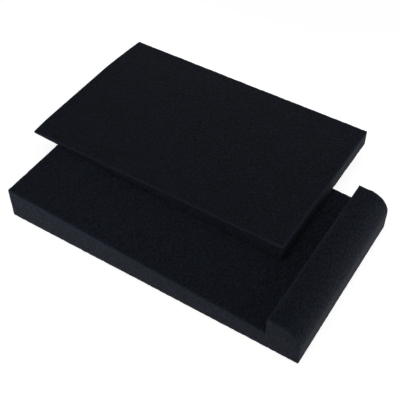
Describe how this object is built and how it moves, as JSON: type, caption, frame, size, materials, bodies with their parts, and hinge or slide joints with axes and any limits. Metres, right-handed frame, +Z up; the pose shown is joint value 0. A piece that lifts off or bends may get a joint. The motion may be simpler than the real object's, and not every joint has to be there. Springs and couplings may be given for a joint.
{
  "type": "speaker isolation pad",
  "caption": "Two wedges of black open-cell foam: a sloped base with a rounded stop lip along its low end, and a loose levelling wedge that lies on the slope.",
  "frame": {"origin": "centre of the base's underside, on the surface that the pad stands on", "axes": "+X from the high rear edge to the lip, +Y across the pad towards the side that the loose wedge is slid to, +Z up"},
  "size_m": [0.3289, 0.243, 0.038],
  "materials": {
    "foam_base": "matte open-cell foam, blue-black",
    "foam_insert": "matte open-cell foam, blue-black"
  },
  "bodies": {
    "root": {"base_pad": "foam_base", "wedge_insert": "foam_insert"}
  },
  "joints": []
}
